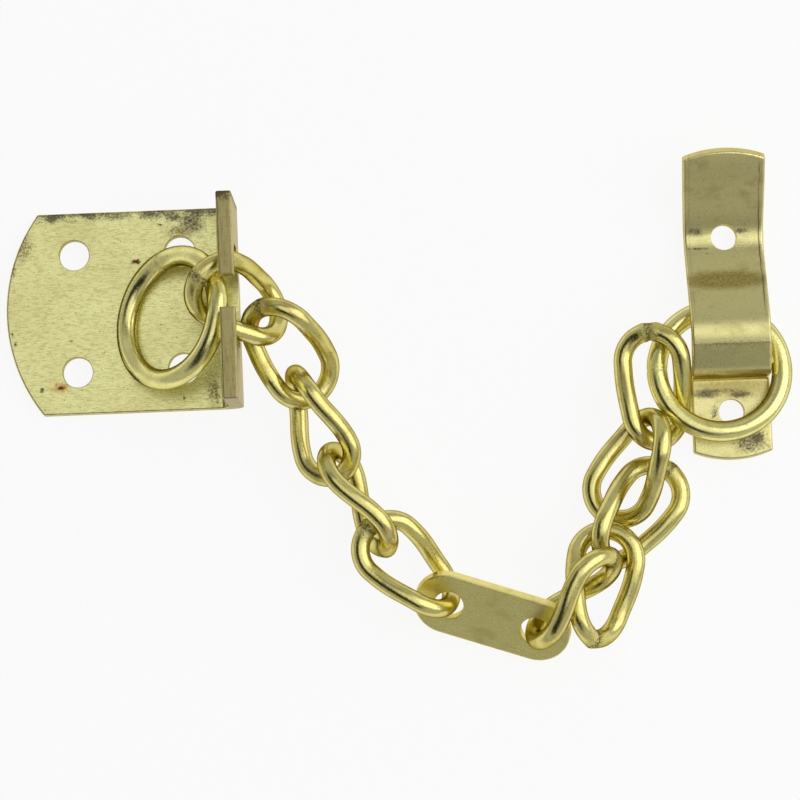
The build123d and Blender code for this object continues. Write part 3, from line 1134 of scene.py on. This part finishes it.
@dataclass(frozen=True)
class BentStrap(SheetPiece):
    """The strap: a strip whose pressed bends flow into each other, a little wider at its tail.

    Attributes:
        foot: From the foot's end to the ring's seat.
        valley: From the ring's seat to the hole in the valley.
        tail: From the ring's seat to the tail's end.
        lead: How far before the ring's seat the bends start to be spread.
        hump_ease: Length over which the bend of the hump is spread.
        valley_ease: Length over which the bend of the valley is spread.
        blend_from: From the ring's seat to where the one spread starts to become the other.
        blend_over: Length over which it does.
        sink: How far the spread valley is let down again.
        sink_reach: Half-length of that.
        fade_in: Length over which the spread sets in.
        fade_out: Length over which it ends towards the tail.
        tail_end: Length of the tail's end that stays as it is.
        flare: How much wider the tail's end is, as a share.
        flare_from: From the ring's seat to where the strip starts to widen.
        cut: Distance between the cuts across the strip.
        on_cut: How near a cut a point counts as on it when the cut is made, in metres.
        slack: How far a point may lie from its cut.
        reach: Cuts that the spread looks at on each side.
        rounded: Cuts at the tail's end that run into its rounding.
    """

    foot: float = 29.5
    valley: float = 14.6
    tail: float = 31.1
    lead: float = 9.0
    hump_ease: float = 1.6
    valley_ease: float = 3.0
    blend_from: float = 1.0
    blend_over: float = 7.0
    sink: float = 0.6
    sink_reach: float = 7.0
    fade_in: float = 2.5
    fade_out: float = 4.0
    tail_end: float = 1.0
    flare: float = 0.04
    flare_from: float = 8.0
    cut: float = 0.5
    on_cut: float = 1e-9
    slack: float = 0.002
    reach: int = 40
    rounded: int = 2

    def shape(self, bm: BMesh) -> None:
        """Cut the strip across, then spread its bends and widen its tail.

        Args:
            bm: Copy of the CAD node.
        """
        low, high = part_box(self.node)
        middle = (low[0] + high[0]) / 2
        seat = low[1] / MM + self.foot
        ys = np.arange(seat - self.lead, high[1] / MM, self.cut)
        for y in ys:
            geom = bm.verts[:] + bm.edges[:] + bm.faces[:]
            place = (0.0, y * MM, 0.0)
            bmesh.ops.bisect_plane(bm, geom=geom, dist=self.on_cut, plane_co=place, plane_no=(0.0, 1.0, 0.0))
        move = self.spread(ys - seat, self.tops(bm, ys))
        for vert in bm.verts:
            y = vert.co.y / MM
            if y > ys[0]:
                vert.co.z += float(np.interp(y, ys, move)) * MM
            share = (y - seat - self.flare_from) / (self.tail - self.flare_from)
            vert.co.x += (vert.co.x - middle) * self.flare * smooth(min(max(share, 0.0), 1.0))

    def tops(self, bm: BMesh, ys: np.ndarray) -> np.ndarray:
        """Height of the strip's upper face at each cut.

        Args:
            bm: Copy of the CAD node, cut across.
            ys: Place of each cut in millimetres.

        Returns:
            Heights in millimetres.
        """
        points = np.array([v.co for v in bm.verts]) / MM
        return np.array([points[np.abs(points[:, 1] - y) < self.slack, 2].max() for y in ys])

    def spread(self, ys: np.ndarray, tops: np.ndarray) -> np.ndarray:
        """How far each cut moves up when the bends are spread.

        Args:
            ys: Place of each cut from the ring's seat, in millimetres.
            tops: Height of the upper face there.

        Returns:
            Moves in millimetres.
        """
        whole = tops[: -self.rounded]
        before = whole[0] - (whole[1] - whole[0]) * np.arange(self.reach, 0, -1)
        after = whole[-1] + (whole[-1] - whole[-2]) * np.arange(1, self.reach + self.rounded + 1)
        run = np.concatenate([before, whole, after])
        near = np.arange(-self.reach, self.reach + 1) * self.cut
        eased = []
        for ease in (self.hump_ease, self.valley_ease):
            weight = np.exp(-0.5 * (near / ease) ** 2)
            eased.append(np.convolve(run, weight / weight.sum(), "same")[self.reach : self.reach + len(ys)])
        share = smooth(np.clip((ys - self.blend_from) / self.blend_over, 0.0, 1.0))
        moves = eased[0] * (1.0 - share) + eased[1] * share - tops
        moves -= self.sink * np.exp(-(((ys - self.valley) / self.sink_reach) ** 2))
        start = np.clip((ys - ys[0]) / self.fade_in, 0.0, 1.0)
        end = np.clip((self.tail - self.tail_end - ys) / self.fade_out, 0.0, 1.0)
        return moves * start * end


@dataclass
class Studio:
    """Pale floor, soft light and the camera over the laid-out chain.

    Attributes:
        eye: Place of the camera in millimetres.
        look: Point that it looks at in millimetres.
        lens: Focal length.
        sensor: Width of the camera's sensor.
        clip: Nearest distance that the camera sees, in metres.
        roll: Turn of the picture in degrees.
        floor_half: Half the floor's side, in metres.
        paper: Colour of the floor.
        glow: How much of the floor that is seen glows white. The rest keeps the shadow.
        dark_side: Direction of the room's darker wall.
        dark_from: How far towards it the room starts to darken.
        dark_full: How far towards it the room is darkest.
        light_wall: Height of a direction and brightness there, on the light side.
        dark_wall: The same on the dark side.
        lamp_at: Place of the lamp in millimetres.
        lamp_side: Side of the lamp in millimetres.
        lamp_watts: Its power.
    """

    eye: Triple = (50.5, -67.0, 670.0)
    look: Triple = (53.0, -19.45, 0.0)
    lens: float = 152.2
    sensor: float = 36.0
    clip: float = 0.01
    roll: float = 2.3
    floor_half: float = 12.0
    paper: Colour = (0.92, 0.92, 0.92, 1.0)
    glow: float = 0.90
    dark_side: Triple = (-0.88, -0.47, 0.0)
    dark_from: float = 0.18
    dark_full: float = 0.46
    light_wall: tuple[Pair, ...] = (
        (0.0, 0.45),
        (0.52, 0.54),
        (0.69, 0.50),
        (0.80, 0.26),
        (0.88, 0.28),
        (0.94, 0.85),
        (0.97, 1.0),
    )
    dark_wall: tuple[Pair, ...] = (
        (0.0, 0.40),
        (0.47, 0.52),
        (0.53, 0.44),
        (0.58, 0.02),
        (0.905, 0.01),
        (0.95, 0.75),
        (0.98, 1.0),
    )
    lamp_at: Triple = (780.0, 90.0, 720.0)
    lamp_side: float = 1100.0
    lamp_watts: float = 4.5

    def add_camera(self) -> None:
        """Set the camera at the photograph's angle."""
        forward = (Vector(self.look) - Vector(self.eye)).normalized()
        right = forward.cross(Vector((0.0, 1.0, 0.0))).normalized()
        up = right.cross(forward)
        c, s = cos(radians(self.roll)), sin(radians(self.roll))
        turn = Matrix((c * right - s * up, s * right + c * up, -forward)).transposed().to_4x4()
        camera = bpy.data.cameras.new("view")
        camera.lens = self.lens
        camera.sensor_width = self.sensor
        camera.clip_start = self.clip
        eye = bpy.data.objects.new("view", camera)
        eye.matrix_world = Matrix.Translation(Vector(self.eye) * MM) @ turn
        bpy.context.scene.collection.objects.link(eye)
        bpy.context.scene.camera = eye

    def add_floor(self) -> None:
        """Lay the white floor that the chain lies on."""
        bm = bmesh.new()
        bmesh.ops.create_grid(bm, x_segments=1, y_segments=1, size=self.floor_half)
        mesh = bpy.data.meshes.new("floor")
        bm.to_mesh(mesh)
        bm.free()
        mesh.materials.append(self.floor_white())
        floor = bpy.data.objects.new("floor", mesh)
        bpy.context.scene.collection.objects.link(floor)

    def floor_white(self) -> Material:
        """White of the floor, which glows where it is seen, also in the metal.

        Returns:
            The material.
        """
        material = bpy.data.materials.new("floor_white")
        material.use_nodes = True
        g = NodeGraph(material.node_tree)
        paper = g.add("ShaderNodeBsdfDiffuse", {"Color": self.paper}).outputs["BSDF"]
        glow = g.add("ShaderNodeEmission", {}).outputs["Emission"]
        path = g.add("ShaderNodeLightPath", {}).outputs
        seen = g.most([path[f"Is {kind} Ray"] for kind in ("Camera", "Glossy", "Transmission")])
        feeds = {0: g.math("MULTIPLY", seen, self.glow), 1: paper, 2: glow}
        both = g.add("ShaderNodeMixShader", feeds).outputs["Shader"]
        g.add("ShaderNodeOutputMaterial", {"Surface": both})
        return material

    def add_room(self) -> None:
        """Light the scene with a soft room whose walls are darker than its ceiling."""
        world = bpy.data.worlds.new("room")
        bpy.context.scene.world = world
        world.use_nodes = True
        g = NodeGraph(world.node_tree)
        way = g.add("ShaderNodeTexCoord", {}).outputs["Generated"]
        toward = g.add("ShaderNodeVectorMath", {0: way, 1: self.dark_side}, operation="DOT_PRODUCT")
        dark = g.step(toward.outputs["Value"], self.dark_from, self.dark_full)
        height = g.axis(way, "Z")
        walls = [self.add_wall(g, height, stops) for stops in (self.light_wall, self.dark_wall)]
        room = g.add("ShaderNodeBackground", {"Color": g.mix(dark, *walls)}).outputs["Background"]
        g.add("ShaderNodeOutputWorld", {"Surface": room})

    def add_wall(self, g: NodeGraph, height: NodeSocket, stops: tuple[Pair, ...]) -> NodeSocket:
        """Brightness of one wall from its foot to the ceiling.

        Args:
            g: Node tree of the room.
            height: Height of a direction.
            stops: Heights, and the brightness at each.

        Returns:
            Colour output.
        """
        ramp = g.add("ShaderNodeValToRGB", {"Fac": height})
        elements = ramp.color_ramp.elements
        while len(elements) < len(stops):
            elements.new(0.5)
        for element, (position, level) in zip(elements, stops):
            element.position = position
            element.color = (level, level, level, 1.0)
        return ramp.outputs["Color"]

    def add_lamp(self) -> None:
        """Hang a square lamp that points at the chain."""
        lamp = bpy.data.lights.new("softbox", "AREA")
        lamp.energy = self.lamp_watts
        lamp.size = self.lamp_side * MM
        holder = bpy.data.objects.new("softbox", lamp)
        aim = (Vector(self.look) - Vector(self.lamp_at)).to_track_quat("-Z", "Y")
        holder.matrix_world = Matrix.Translation(Vector(self.lamp_at) * MM) @ aim.to_matrix().to_4x4()
        bpy.context.scene.collection.objects.link(holder)


@dataclass
class DoorChain:
    """The whole chain, from the bracket to the strap.

    Attributes:
        links: Its links, from the bracket.
        rings: The ring at each end.
        bracket: Bracket for the door.
        tag: Blank tag between the links.
        strap: Strap for the door frame.
        link_wire: Finish of the links.
        ring_wire_painted_bright: Finish of the rings, a brighter copy of the links' brass: a painted
            highlight.
        bracket_sheet: Finish of the bracket.
        tag_strip: Finish of the tag.
        strap_marks_and_painted_light: Marks on the strap, counted from the ring's seat: dark spots, painted
            reflections, a painted highlight and the painted shade of its hole.
        strap_rim: From the strap's middle to the dark line along its edges.
    """

    links: tuple[TwistedLink, ...] = (
        TwistedLink(1, "link_2", WeldEnd.NEAR),
        TwistedLink(2, "link_3", WeldEnd.NEAR),
        TwistedLink(3, "link_4", WeldEnd.FAR),
        TwistedLink(4, "link_5", WeldEnd.FAR),
        TwistedLink(5, "tag", WeldEnd.NEAR),
        TwistedLink(6, "link_7", WeldEnd.FAR),
        TwistedLink(7, "link_8", WeldEnd.NEAR, WeldForm.PEAK),
        TwistedLink(8, "link_9", WeldEnd.FAR),
        TwistedLink(9, "link_10", WeldEnd.NEAR),
        TwistedLink(10, "strap_ring", WeldEnd.FAR, WeldForm.NODULES, bow_out=0.0),
    )
    rings: tuple[EndRing, ...] = (EndRing("end_ring", 160.0), EndRing("strap_ring", 250.0))
    bracket: SheetPiece = SheetPiece("door_bracket", "bracket_sheet", "plated_sheet")
    tag: SheetPiece = SheetPiece("tag", "tag_plate", "plated_sheet")
    strap: BentStrap = BentStrap("frame_strap", "strap_strip", "plated_sheet")
    link_wire: PlatedWire = PlatedWire()
    # Painted highlight: the rings get a brighter copy of the links' brass.
    ring_wire_painted_bright: PlatedWire = PlatedWire("heavy_wire_painted_bright", (0.86, 0.81, 0.33, 1.0), (0.58, 0.48, 0.15, 1.0))
    bracket_sheet: PlatedSheet = PlatedSheet()
    tag_strip: SatinStrip = SatinStrip(brass=(0.91, 0.825, 0.315, 1.0), tarnish=(0.56, 0.47, 0.16, 1.0))
    strap_marks_and_painted_light: tuple[SpotMark, ...] = (
        # Painted reflection: a brownish band across the foot where it runs into the riser.
        SpotMark((0.0, -15.2, 2.5), 1.9, (0.46, 0.38, 0.13, 1.0), 0.4, 0.5, (5.0, 0.9, 2.0), 0.2, 2.4),
        # Painted reflection: a dark golden-brown band across the slope below the valley's hole.
        SpotMark((-0.4, 5.8, 6.5), 1.9, (0.36, 0.27, 0.06, 1.0), 0.35, 0.2, (4.6, 1.0, 3.0), 0.35, 1.6),
        # Painted highlight: a bright yellow line across the foot of the riser.
        SpotMark((0.0, -13.2, 3.6), 1.0, (0.95, 0.80, 0.22, 1.0), 0.25, 0.1, (12.0, 0.8, 2.4), 0.0, 0.8),
        SpotMark((-5.9, 15.8, 2.6), 1.0, SOOT_AND_PAINTED_REFLECTION, 0.45, 0.4, (1.5, 0.75, 2.0), 0.5, 1.0),
        SpotMark((3.6, 15.7, 2.6), 0.8, SOOT_AND_PAINTED_REFLECTION, 0.45, 0.4, (1.4, 0.6, 2.0), 0.5, 0.8),
        SpotMark((-5.2, 12.5, 2.6), 0.45, SOOT_AND_PAINTED_REFLECTION, 0.45, 0.3, (4.0, 0.5, 4.0), 0.7, 0.7),
        # Painted reflection: a thin dark band across the riser below the hump.
        SpotMark((0.0, -7.2, 10.0), 0.45, DULL_AND_PAINTED_SHADE, 0.45, 0.3, (14.0, 0.7, 6.0), 0.9, 0.9),
        # Painted reflections of the ring: three dark patches between the foot's hole and the riser.
        SpotMark((-5.0, -16.4, 2.5), 1.15, SOOT_AND_PAINTED_REFLECTION, 0.45, 0.4, (2.0, 0.7, 2.0), 0.3, 1.4),
        SpotMark((1.8, -16.7, 2.5), 1.1, SOOT_AND_PAINTED_REFLECTION, 0.45, 0.4, (1.9, 0.6, 2.0), 0.25, 1.2),
        SpotMark((-1.5, -15.8, 2.5), 0.5, SOOT_AND_PAINTED_REFLECTION, 0.45, 0.4, (6.0, 0.7, 2.0), 0.8, 1.0),
        # Painted reflections: dark mottling on the foot, beyond and beside its hole.
        SpotMark((3.4, -26.0, 2.5), 2.0, SOOT_AND_PAINTED_REFLECTION, 0.45, 0.9, (1.5, 1.0, 2.0), 0.55, 1.6),
        SpotMark((4.8, -25.4, 2.5), 0.9, SOOT_AND_PAINTED_REFLECTION, 0.45, 0.6, (1.4, 1.0, 2.0), 0.3, 1.0),
        SpotMark((-3.4, -20.2, 2.5), 0.7, SOOT_AND_PAINTED_REFLECTION, 0.45, 0.5, (0.8, 1.8, 2.0), 0.8, 0.8),
        # Painted shade: the wall of the foot's hole, coloured dark and dull.
        SpotMark((0.0, -20.1, 1.0), 2.52, DULL_AND_PAINTED_SHADE, 0.5, 0.08, (1.0, 1.0, 30.0), 0.0, 0.2),
    )
    strap_rim: float = 6.9

    def build(self, nodes: dict[str, Object]) -> None:
        """Model every piece and dress it.

        Args:
            nodes: CAD nodes by name.
        """
        light = self.link_wire.make()
        heavy = self.ring_wire_painted_bright.make()
        for link in self.links:
            link.build(nodes, light)
        for ring in self.rings:
            ring.build(nodes, heavy)
        self.bracket.build(nodes, self.bracket_sheet.make())
        self.tag.build(nodes, self.tag_strip.make())
        low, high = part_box(self.strap.node)
        seat = ((low[0] + high[0]) / 2 / MM, low[1] / MM + self.strap.foot, low[2] / MM)
        pressed = SatinStrip("pressed_strip", marks=self.strap_marks_and_painted_light, origin=seat, rim=self.strap_rim)
        self.strap.build(nodes, pressed.make())


def main() -> None:
    """Build the scene."""
    logging.basicConfig(level=logging.INFO, format="%(name)s: %(message)s")
    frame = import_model()
    bpy.context.scene.view_settings.view_transform = "Standard"
    studio = Studio()
    studio.add_camera()
    studio.add_floor()
    studio.add_room()
    studio.add_lamp()
    DoorChain().build(frame["nodes"])


if __name__ == "__main__":
    main()
